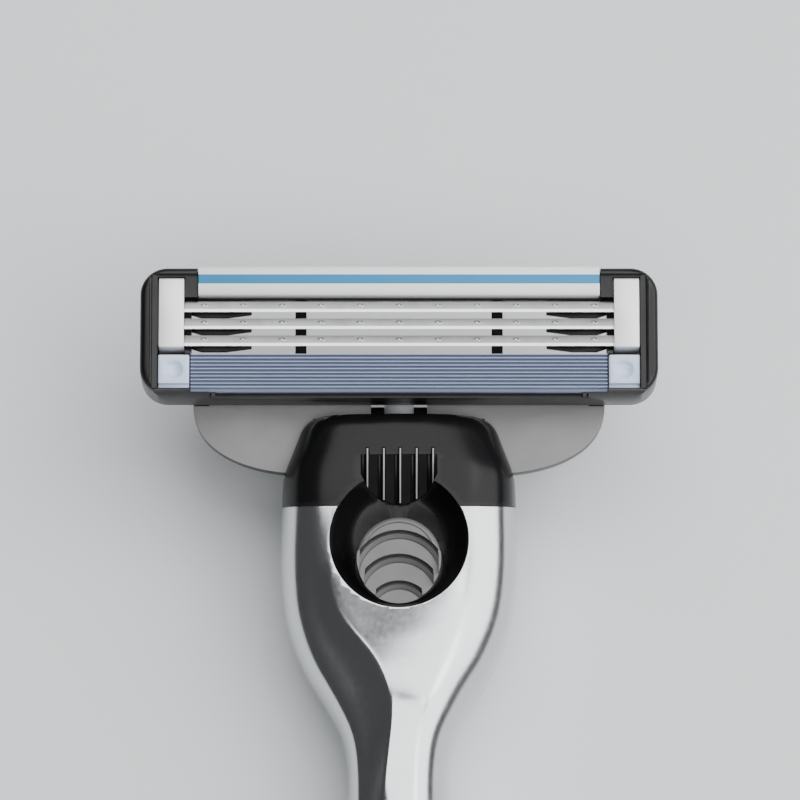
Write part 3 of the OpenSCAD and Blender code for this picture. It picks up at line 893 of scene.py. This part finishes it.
def release_button():
    """A round button that steps down towards the butt over rounded, leaning risers."""
    base = POCKET_FLOOR + 0.05
    obj = rod("button_cap", (0, BUTTON_V, base), (0, BUTTON_V, LEVELS[0]), BUTTON_R, 96)
    with editing(obj):
        select(obj, "EDGE", lambda m, e: m.z > 5.9 and m.y > BUTTON_V + 0.6
               and abs(e.verts[0].co.z - e.verts[1].co.z) < 0.01)
        bpy.ops.mesh.bevel(offset=0.4, segments=5, affect="EDGES")
    for (foot, radius, half), level in zip(RISERS, LEVELS[1:]):
        cut(obj, riser_cutter(foot, radius, half, level))
        # a deep groove under the lip of the riser, and a fine one along its foot
        for r, width, depth, wide in ((radius + 0.34, 0.3, -0.6, half - 0.05),
                                      (radius - 0.04, 0.09, -0.14, half)):
            line = lathe("line", [(r, level + depth), (r + width, level + depth), (r + width, level + 2),
                                  (r, level + 2)], (0, foot - radius, 0), 96)
            cut(obj, keep_inside(line, box("line_sides", (-wide, foot - radius, 0), (wide, 5, 12))))
    rim = lathe("rim_line", [(BUTTON_R - 0.52, LEVELS[0] - 0.14), (BUTTON_R - 0.43, LEVELS[0] - 0.14),
                             (BUTTON_R - 0.43, 8), (BUTTON_R - 0.52, 8)], (0, BUTTON_V, 0), 96)
    cut(obj, keep_inside(rim, box("rim_front", (-4, BUTTON_V + 0.9, 5.8), (4, 2, 9))))
    # room under its front to slide over the bowl and the ribs
    cut(obj, box("under_lip", (-5, -2.6, 0), (5, 1, 4.5)), box("under_front", (-5, -4.4, 0), (5, 1, 3.2)))
    soften(obj, 0.05, 2, 30)
    stem = box("stem", (-1.6, BUTTON_V - 2.8, 2.2), (1.6, BUTTON_V - 0.8, 3.1))
    joined(obj, soften(stem, 0.05))
    return place(obj, "button", FINISHES["button_plastic"],
                 replaces=["release_button"])


def coil(name, node, start, end, turns):
    """A closed coil spring of round wire along the neck, with squared ends."""
    wire, radius = 0.17, 1.15
    deselect()
    bpy.ops.mesh.primitive_circle_add(vertices=10, radius=wire, location=(radius, 0, 0),
                                      rotation=(math.pi / 2, 0, 0))
    obj = settle()
    obj.name = name
    apply(obj, "SCREW", angle=math.tau * turns, screw_offset=end - start - 2 * wire, steps=28 * turns,
          render_steps=28 * turns, axis="Z", use_smooth_shade=True)
    with editing(obj):
        select(obj, "EDGE", lambda middle, edge: edge.is_boundary)
        bpy.ops.mesh.fill_holes(sides=0)
        bpy.ops.mesh.edge_face_add()
        bpy.ops.mesh.select_all(action="SELECT")
        bpy.ops.mesh.normals_make_consistent(inside=False)
    obj.matrix_world = Matrix.Translation((0, start + wire, 0)) @ Matrix.Rotation(-math.pi / 2, 4, "X")
    take(obj)
    settle()
    place(obj, "handle", FINISHES["spring_steel"], smooth=60, replaces=[node])
    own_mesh(obj)
    return obj


# ---------------------------------------------------------------- connector

WING = ((7, 9.3), (9.8, 5.8), 2.25)        # centre, reach and squareness of a wing's outline


def wing():
    (cx, cv), (rx, rv), n = WING
    curve = [math.pi / 2 * i / 20 for i in range(21)]
    points = [(cx + rx * math.cos(a) ** (2 / n), cv - rv * math.sin(a) ** (2 / n)) for a in curve]
    return prism("wing", points + [(7, 9.3)], "w", 0.1, 1.3)


def connector_yoke():
    obj = wing()
    fuse(obj, box("crossbar", (2.3, 8.1, -3), (9, 9.7, 1.3)))
    arm = prism("arm", [(8.4, 0.1), (11.3, 0.9), (12.4, 1.8), (12.6, 2.6), (10.2, 2.6), (10.3, 2.05),
                        (9.15, 1.3), (8.4, 1.25)], "x", 15.5, 16.7)
    fuse(arm, rod("boss", (15.5, PIVOT_V, PIVOT_W), (16.7, PIVOT_V, PIVOT_W), 1.3))
    fuse(arm, rod("pin", (16.6, PIVOT_V, PIVOT_W), (18.4, PIVOT_V, PIVOT_W), 0.8))
    fuse(obj, arm)
    other = mirrored(obj, "other_half")
    fuse(obj, box("bridge", (-9, 8.1, -3), (9, 9.7, -1.75)), other)
    fuse(obj, box("back_plate", (-6.6, 4.7, -4), (6.6, 9.7, -2.95)))
    obj.name = "yoke"
    soften(obj, 0.16, 3, 40)
    place(obj, "connector", FINISHES["yoke_plastic"], replaces=["connector_yoke"])
    # the sides and rounded edges of the wings get the dark plastic as painted shade; only their flat fronts
    # are grey
    second_finish(obj, "housing_plastic", HEAD, lambda middle, face: (
        face.normal.dot(W_AXIS) < 0.97 or abs(middle.z - 1.3) > 0.05))


# ---------------------------------------------------------------- cartridge

FACE_PIVOT = (PIVOT_V - GUARD_V, PIVOT_W - SKIN_W)
CAM_START, TURN = 0.2, math.radians(41)


def edge_at(k):
    return FIRST_EDGE + PITCH * k


def cam():
    """The cam that works the plunger: an involute of the plunger's reach about the pivot."""
    points = []
    for i in range(13):
        a = TURN * i / 12
        y, z = -(CAM_START + PIVOT_W * a), -PIVOT_W
        points.append((FACE_PIVOT[0] + y * math.cos(a) - z * math.sin(a),
                       FACE_PIVOT[1] + y * math.sin(a) + z * math.cos(a)))
    end = FACE_PIVOT[0] + 1.2
    return prism("cam", [(points[0][0], -2)] + points + [(end, -SKIN_W - 0.9), (end, -2)],
                 "x", -1.5, 1.5)


def rounded_block(name, inset, z0, z1, edge):
    """The cartridge's outline as a solid, with rounded corners and rounded rims."""
    w, h, r = HEAD_W / 2 - inset, HEAD_H, CORNER - inset
    steps = 10
    points = []
    for cx, cy, turn in ((w - r, inset + r, -math.pi / 2), (w - r, h - inset - r, 0),
                         (r - w, h - inset - r, math.pi / 2), (r - w, inset + r, math.pi)):
        points += [(cx + r * math.cos(turn + math.pi / 2 * i / steps),
                    cy + r * math.sin(turn + math.pi / 2 * i / steps)) for i in range(steps + 1)]
    obj = prism(name, points, "w", z0, z1)
    with editing(obj):
        select(obj, "EDGE", lambda m, e: abs(e.verts[0].co.z - e.verts[1].co.z) < 0.01
               and abs(m.z - z1) < 0.01)
        bpy.ops.mesh.bevel(offset=edge, segments=5, affect="EDGES")
        select(obj, "EDGE", lambda m, e: abs(e.verts[0].co.z - e.verts[1].co.z) < 0.01
               and abs(m.z - z0) < 0.01)
        bpy.ops.mesh.bevel(offset=0.15, segments=3, affect="EDGES")
    return obj


def blade_housing():
    obj = rounded_block("cartridge_frame", 0, -HEAD_D, RIM_RISE, 0.5)
    # the middle is lower than the rims, and a ledge runs inside each rim
    cut(obj, box("middle", (-15.7, -1, 0), (15.7, 12, 3)))
    cut(obj, *pair(box, "rim_ledge", (15.6, 0.5, 0.14), (20.02, 9.98, 3)))
    cut(obj, *pair(box, "rim_well", (15.6, 0.5, 0), (RIM_X, 9.98, 3)))
    with editing(obj):
        select(obj, "EDGE", lambda m, e: abs(m.z - RIM_RISE) < 0.02 and abs(abs(m.x) - 20.02) < 0.02)
        bpy.ops.mesh.bevel(offset=0.24, segments=4, affect="EDGES")
    # a chamfer under the guard's ends, and a recess above a bar along its middle
    chamfer = [(0.42, 1), (0.42, -0.12), (-1, -3.1), (-1, 1)]
    cut(obj, prism("chamfer_right", chamfer, "x", 15.35, 19.9),
        prism("chamfer_left", chamfer, "x", -19.9, -15.35),
        box("bar_recess", (-15.35, -1, -1.25), (15.35, 0.34, 1)))
    fuse(obj, *pair(box, "tab", (14.9, 0.02, -1.3), (15.2, 0.34, -0.55)))
    cut(obj, box("window", (-END_X, 3.5, -9), (END_X, 8.1, 3)),
        box("guard_hollow", (-END_X, 0.9, -9), (END_X, 4.5, -2.2)),
        box("cap_hollow", (-END_X, 7.1, -9), (END_X, 9.7, -3.4)))
    for side in pair(box, "cross_rib", (7.55, 2.5, -HEAD_D), (8.45, 9.1, -3)):
        fuse(obj, side)
    lugs = pair(rod, "lug", (END_X, *FACE_PIVOT), (18.9, *FACE_PIVOT), 1.7)
    fuse(obj, *lugs)
    fuse(obj, cam())
    cut(obj, box("guard_seat", (-16.95, 0.3, -1.05), (16.95, 4.5, 3)))
    cut(obj, *pair(box, "pad_seat", (16.9, 0.5, -1.05), (RIM_X, 3.42, 3)))
    cut(obj, box("strip_seat", (-16.35, 7, -1.2), (16.35, 12, 3)))
    cut(obj, *pair(box, "blade_pocket", (15.9, 3.67, -1.3), (18.6, 8.1, 3)))
    for k in range(3):
        cut(obj, *pair(box, "support_slot", (16.5, edge_at(k) + 0.55, -2.95),
                       (18.6, edge_at(k) + 1.05, 3)))
    cut(obj, *pair(box, "leg_room", (17.34, 3.36, -2.3), (19.57, 3.9, 3)))
    for y in (3.76, 9.38):
        cut(obj, *pair(box, "clip_hole", (17.34, y, -9), (19.57, y + 0.36, 3)))
    cut(obj, *pair(rod, "pin_bore", (15.9, *FACE_PIVOT), (18.6, *FACE_PIVOT), 0.85))
    soften(obj, 0.06, 2, 40)
    # small ribbed blocks that close the strip's ends
    for side in pair(box, "strip_stop", (16.42, 8.15, -0.9), (17.2, 9.85, -0.12)):
        cut(side, *[box("stop_gap", (-20, 8.35 + 0.5 * i, -0.4), (20, 8.55 + 0.5 * i, 1))
                    for i in range(3)])
        joined(obj, soften(side, 0.03))
    return place(obj, "blade_unit", FINISHES["housing_plastic"], FACE,
                 replaces=["blade_housing"])


def guard_fins():
    """The rubber guard: thin upright fins with rounded tips and a plain land at its edge."""
    count, pitch, first = 10, 0.3, 3.38
    points = [(0.35, -1.05), (3.5, -1.05), (3.5, -0.56)]
    for k in range(count):
        y = first - pitch * k
        points += [(y + 0.08, -0.5), (y + 0.035, -0.15), (y + 0.015, -0.1), (y - 0.015, -0.1),
                   (y - 0.035, -0.15), (y - 0.08, -0.5)]
    points += [(0.45, -0.44), (0.36, -0.52)]
    obj = prism("guard_strip", points, "x", -16.88, 16.88)
    return place(obj, "blade_unit", FINISHES["guard_rubber"], FACE,
                 replaces=["guard_fins"])


def guard_pad():
    """A soft pad at the end of the guard, with a round dimple and a lip."""
    obj = box("guard_pad_right_moulding", (17.0, 0.55, -1.05), (19.52, 3.36, -0.15))
    with editing(obj):
        select(obj, "FACE", lambda m, f: f.normal.z > 0.9)
        bpy.ops.mesh.inset(thickness=0.14)
        bpy.ops.transform.translate(value=(0, 0, 0.08))
    cut(obj, ball("dimple", (18.25, 2.1, 0.72), (1.1, 1.1, 1.1), 48))
    cut(obj, box("lip_step", (16, 0.3, -0.42), (20, 0.95, 1)))
    soften(obj, 0.12, 3, 25)
    left = mirrored(obj, "guard_pad_left_moulding")
    for piece, node in ((obj, "guard_pad_right"), (left, "guard_pad_left")):
        place(piece, "blade_unit", FINISHES["pad_gel"], FACE, replaces=[node])


STRIP = [(8.25, -1.15), (8.25, -0.03), (8.3, 0.06), (8.45, 0.17), (8.75, 0.27), (9.17, 0.34),
         (9.91, 0.33), (10.3, 0.26), (10.55, 0.12), (10.68, -0.1), (10.68, -0.9), (10.4, -1.15)]


def lubricating_strip():
    obj = prism("comfort_strip", STRIP, "x", -STRIP_HALF, STRIP_HALF)
    cut(obj, box("stripe_seat", (-20, 9.17, -0.3), (20, 9.91, 1)))
    soften(obj, 0.04, 2, 50)
    place(obj, "blade_unit", FINISHES["strip_white"], FACE,
          replaces=["lubricating_strip"])
    stripe = prism("blue_stripe", [(9.18, -0.28), (9.18, 0.335), (9.9, 0.325), (9.9, -0.28)], "x",
                   -STRIP_HALF + 0.01, STRIP_HALF - 0.01)
    soften(stripe, 0.02, 2, 50)
    place(stripe, "blade_unit", FINISHES["strip_blue"], FACE,
          replaces=["indicator_stripe"])


def clips():
    """A bent aluminium strip over each end, with its legs turned in under the cartridge."""
    near, far, top, foot, sheet = 3.86, 9.64, 0.27, -4.5, 0.16
    outer = [(near + 0.9, foot), (near, foot), (near, top - 0.2), (near + 0.06, top - 0.07),
             (near + 0.2, top), (far - 0.2, top), (far - 0.06, top - 0.07), (far, top - 0.2),
             (far, foot), (far - 0.9, foot)]
    inner = [(far - 0.9, foot + sheet), (far - sheet, foot + sheet), (far - sheet, top - 0.25),
             (far - 0.24, top - sheet), (near + 0.24, top - sheet), (near + sheet, top - 0.25),
             (near + sheet, foot + sheet), (near + 0.9, foot + sheet)]
    obj = prism("end_clip_right", outer + inner, "x", CLIP_X, CLIP_X + CLIP_W)
    soften(obj, 0.04, 2, 50)
    left = mirrored(obj, "end_clip_left")
    for piece, node in ((obj, "clip_right"), (left, "clip_left")):
        place(piece, "blade_unit", FINISHES["clip_aluminium"], FACE,
              replaces=[node])


def on_blade(s, depth):
    """Point at s back from the edge along a blade's top face, and depth below it."""
    return (s * math.cos(SLOPE) - depth * math.sin(SLOPE),
            -s * math.sin(SLOPE) - depth * math.cos(SLOPE))


def blades():
    """Each blade: a ground sheet with a honed edge whose near-white colour is partly a painted highlight, and
    a row of weld spots.
    """
    base = prism("blade_blank", [(0.0, -0.07), on_blade(0.27, 0), on_blade(BLADE_REACH, 0),
                                 on_blade(BLADE_REACH, BLADE_T), on_blade(0.3, BLADE_T)],
                 "x", -BLADE_HALF, BLADE_HALF)
    spots = []
    across, up = on_blade(0.62, -0.005)
    for i in range(-5, 6):
        spot = ball("weld", (0, 0, 0), (0.3, 0.17, 0.035), 16)
        spot.matrix_world = Matrix.Translation((3.163 * i, across, up)) \
            @ Matrix.Rotation(-SLOPE, 4, "X")
        take(spot)
        spots.append(settle())
    joined(base, *spots)
    for k in range(3):
        obj = duplicate(base, f"blade_sheet_{k + 1}", (0, edge_at(k), -0.04))
        place(obj, f"blade_{k + 1}", FINISHES["blade_steel"], FACE, 20,
              [f"blade_{k + 1}"])
        # the honed facet gets a near-white finish: its own polish and a painted highlight together
        second_finish(obj, "honed_edge_glint", FACE, lambda middle, face: (
            middle.y - edge_at(k) < 0.24 or face.area < 2e-9))
    bpy.data.objects.remove(base)


# ---------------------------------------------------------------- make everything

handle_shell()
grip("thumb_pad", "thumb", "thumb_grip")
grip("finger_pad", "finger", "finger_grip")
docking_body()
bpy.data.objects.remove(BODY)
release_button()
coil("plunger_coil", "plunger_spring", -4.65, -0.25, 4)
coil("button_coil", "button_spring", -9.95, -5.45, 4)
connector_yoke()
blade_housing()
guard_fins()
guard_pad()
lubricating_strip()
clips()
blades()
refined("mechanism_cover", "spring_cover", "handle", FINISHES["cover_plastic"])
refined("ejector_slider", "ejector", "button", FINISHES["slider_plastic"])
refined("plunger", "plunger_pin", "plunger", FINISHES["plunger_plastic"])
for number in (1, 2, 3):
    refined(f"blade_support_{number}", f"blade_carrier_{number}", f"blade_{number}",
            FINISHES["support_steel"], 0.04)
    fingers = refined(f"spring_fingers_{number}", f"blade_spring_{number}", "blade_unit",
                      FINISHES["housing_plastic"], 0.05)
    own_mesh(fingers)

# ---------------------------------------------------------------- floor, light and camera


def floor():
    deselect()
    bpy.ops.mesh.primitive_plane_add(size=3, location=(0, 0, 0))
    obj = bpy.context.object
    obj.name = "floor"
    material = bpy.data.materials.new("pale_floor")
    material.use_nodes = True
    shader = material.node_tree.nodes["Principled BSDF"]
    shader.inputs["Base Color"].default_value = linear(226, 230, 232)
    shader.inputs["Roughness"].default_value = 0.75
    obj.data.materials.append(material)


def softbox(name, place_at, aim, size, power, tint=(1, 1, 1)):
    light = bpy.data.lights.new(name, "AREA")
    light.shape = "RECTANGLE"
    light.size, light.size_y = size
    light.energy = power
    light.color = tint
    obj = bpy.data.objects.new(name, light)
    bpy.context.scene.collection.objects.link(obj)
    obj.location = place_at
    obj.rotation_euler = (Vector(aim) - Vector(place_at)).to_track_quat("-Z", "Y").to_euler()
    return obj


def studio():
    world = bpy.data.worlds.new("studio")
    world.use_nodes = True
    world.node_tree.nodes["Background"].inputs["Color"].default_value = linear(84, 84, 85)
    world.node_tree.nodes["Background"].inputs["Strength"].default_value = 1.0
    bpy.context.scene.world = world
    head = HEAD @ Vector((0, 0, 3))
    height = 0.7
    softbox("overhead", head + Vector((0.08, 0.272, height)), head, (0.78, 0.58), 4.6)
    softbox("front", head + Vector((0.08, -0.31, height)), head, (0.78, 0.42), 3.3)
    softbox("right", head + Vector((0.56, -0.03, 0.46)), head, (0.9, 0.52), 5.2)


VIEW_TILT = math.radians(20)        # camera's tilt from straight down
FRAME_WIDTH = 64.6 * MM             # width of the view at the head
LENS = 300.0
SENSOR = 36.0


def camera():
    up = Vector((0, math.cos(VIEW_TILT), math.sin(VIEW_TILT)))
    back = Vector((0, -math.sin(VIEW_TILT), math.cos(VIEW_TILT)))
    middle = HEAD @ Vector((0.08, 0, 5.6)) + up * 8.56 * MM
    data = bpy.data.cameras.new("camera")
    data.lens = LENS
    data.sensor_width = SENSOR
    data.clip_start, data.clip_end = 0.01, 10
    obj = bpy.data.objects.new("camera", data)
    bpy.context.scene.collection.objects.link(obj)
    obj.location = middle + back * (FRAME_WIDTH * LENS / SENSOR)
    obj.rotation_euler = (VIEW_TILT, 0, 0)
    bpy.context.scene.camera = obj


floor()
studio()
camera()
